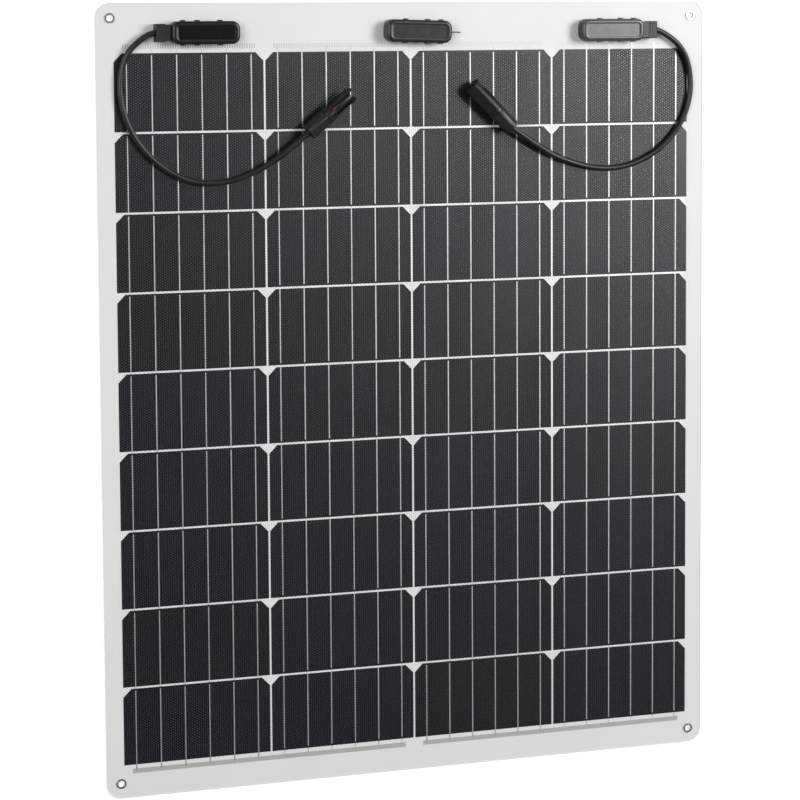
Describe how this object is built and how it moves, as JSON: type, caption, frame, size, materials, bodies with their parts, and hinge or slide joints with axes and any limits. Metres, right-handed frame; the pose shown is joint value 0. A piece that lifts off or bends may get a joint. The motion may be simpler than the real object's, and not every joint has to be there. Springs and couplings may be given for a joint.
{
  "type": "flexible solar sheet",
  "caption": "Thin flexible solar sheet of half-cut cells with three low junction boxes on its face, two short free cords and a pair of mating plugs.",
  "frame": {"origin": "centre of the sheet on its underside, which rests on Z = 0", "axes": "+Z out of the cell face, +Y up the strings towards the junction boxes, +X across the columns to the right as seen from the cell side"},
  "size_m": [0.67, 0.805, 0.0206],
  "materials": {
    "backing_board": "fibreglass-filled sheet, matt white",
    "white_layer": "smooth white film",
    "cells": "dark blue-black silicon, fine grid lines under a clear layer",
    "ribbons": "solder-coated copper, bright satin",
    "bus_strips": "solder-coated copper, seen through a milky layer",
    "clear_layer": "clear, slightly milky",
    "front_film": "clear film with a fine embossed texture",
    "eyelets": "nickel plated",
    "foils": "solder-coated copper",
    "adhesive": "silicone adhesive, matt",
    "left_box": "moulded, satin with a glossier lid",
    "centre_box": "moulded, satin",
    "right_box": "moulded, satin, catching the light",
    "gaskets": "matt",
    "terminals": "plain",
    "diodes": "moulded",
    "cord_jacket": "matt cross-linked jacket with a soft highlight",
    "plug_shell": "moulded, satin",
    "plug_nuts": "moulded, satin",
    "plug_ring": "dark red silicone",
    "contacts": "tinned copper"
  },
  "bodies": {
    "sheet": {"backing_board": "backing_board", "rear_encapsulant": "white_layer", "cell_string_1": "cells", "cell_string_2": "cells", "cell_string_3": "cells", "cell_string_4": "cells", "ribbons_1": "ribbons", "ribbons_2": "ribbons", "ribbons_3": "ribbons", "ribbons_4": "ribbons", "top_bus_left": "bus_strips", "top_bus_middle": "bus_strips", "top_bus_right": "bus_strips", "bottom_bus_left": "bus_strips", "bottom_bus_right": "bus_strips", "front_encapsulant": "clear_layer", "front_film": "front_film", "eyelets": "eyelets", "lead_left": "foils", "lead_centre": "foils", "lead_right": "foils", "bypass_foil_left": "foils", "bypass_foil_right": "foils", "box_pads": "adhesive", "left_box_base": "left_box", "centre_box_base": "centre_box", "right_box_base": "right_box", "box_gaskets": "gaskets", "left_terminal": "terminals", "centre_terminals": "terminals", "right_terminal": "terminals", "bypass_diodes": "diodes", "centre_tail": "cord_jacket", "left_clamp_cap": "left_box", "right_clamp_cap": "right_box", "left_clamp_seal": "gaskets", "right_clamp_seal": "gaskets", "left_cord": "cord_jacket", "right_cord": "cord_jacket", "left_plug_housing": "plug_shell", "left_plug_ring": "plug_ring", "left_plug_contact": "contacts", "left_plug_seal": "gaskets", "right_plug_housing": "plug_shell", "right_plug_contact": "contacts", "right_plug_seal": "gaskets"},
    "left_lid": {"left_box_lid": "left_box"},
    "centre_lid": {"centre_box_lid": "centre_box"},
    "right_lid": {"right_box_lid": "right_box"},
    "left_nut": {"left_plug_nut": "plug_nuts"},
    "right_nut": {"right_plug_nut": "plug_nuts"},
    "upper_latch": {"left_latch_upper": "plug_shell"},
    "lower_latch": {"left_latch_lower": "plug_shell"}
  },
  "joints": [
    {"name": "left_lid_lift", "type": "slide", "parent": "sheet", "child": "left_lid", "axis": [0, 0, 1], "range_m": [0, 0.02]},
    {"name": "centre_lid_lift", "type": "slide", "parent": "sheet", "child": "centre_lid", "axis": [0, 0, 1], "range_m": [0, 0.02]},
    {"name": "right_lid_lift", "type": "slide", "parent": "sheet", "child": "right_lid", "axis": [0, 0, 1], "range_m": [0, 0.02]},
    {"name": "left_nut_turn", "type": "hinge", "parent": "sheet", "child": "left_nut", "pos_m": [-0.10624, 0.27812, 0.0116], "axis": [0.7716, 0.6361, 0], "range_deg": [0, 1080]},
    {"name": "right_nut_turn", "type": "hinge", "parent": "sheet", "child": "right_nut", "pos_m": [0.10037, 0.28032, 0.0116], "axis": [-0.7193, 0.6947, 0], "range_deg": [0, 1080]},
    {"name": "upper_latch_bend", "type": "hinge", "parent": "sheet", "child": "upper_latch", "pos_m": [-0.09451, 0.29565, 0.0151], "axis": [-0.318, 0.3858, -0.866], "range_deg": [0, 3], "stiffness_Nm_per_rad": 1},
    {"name": "lower_latch_bend", "type": "hinge", "parent": "sheet", "child": "lower_latch", "pos_m": [-0.0868, 0.28629, 0.0081], "axis": [0.318, -0.3858, 0.866], "range_deg": [0, 3], "stiffness_Nm_per_rad": 1}
  ]
}
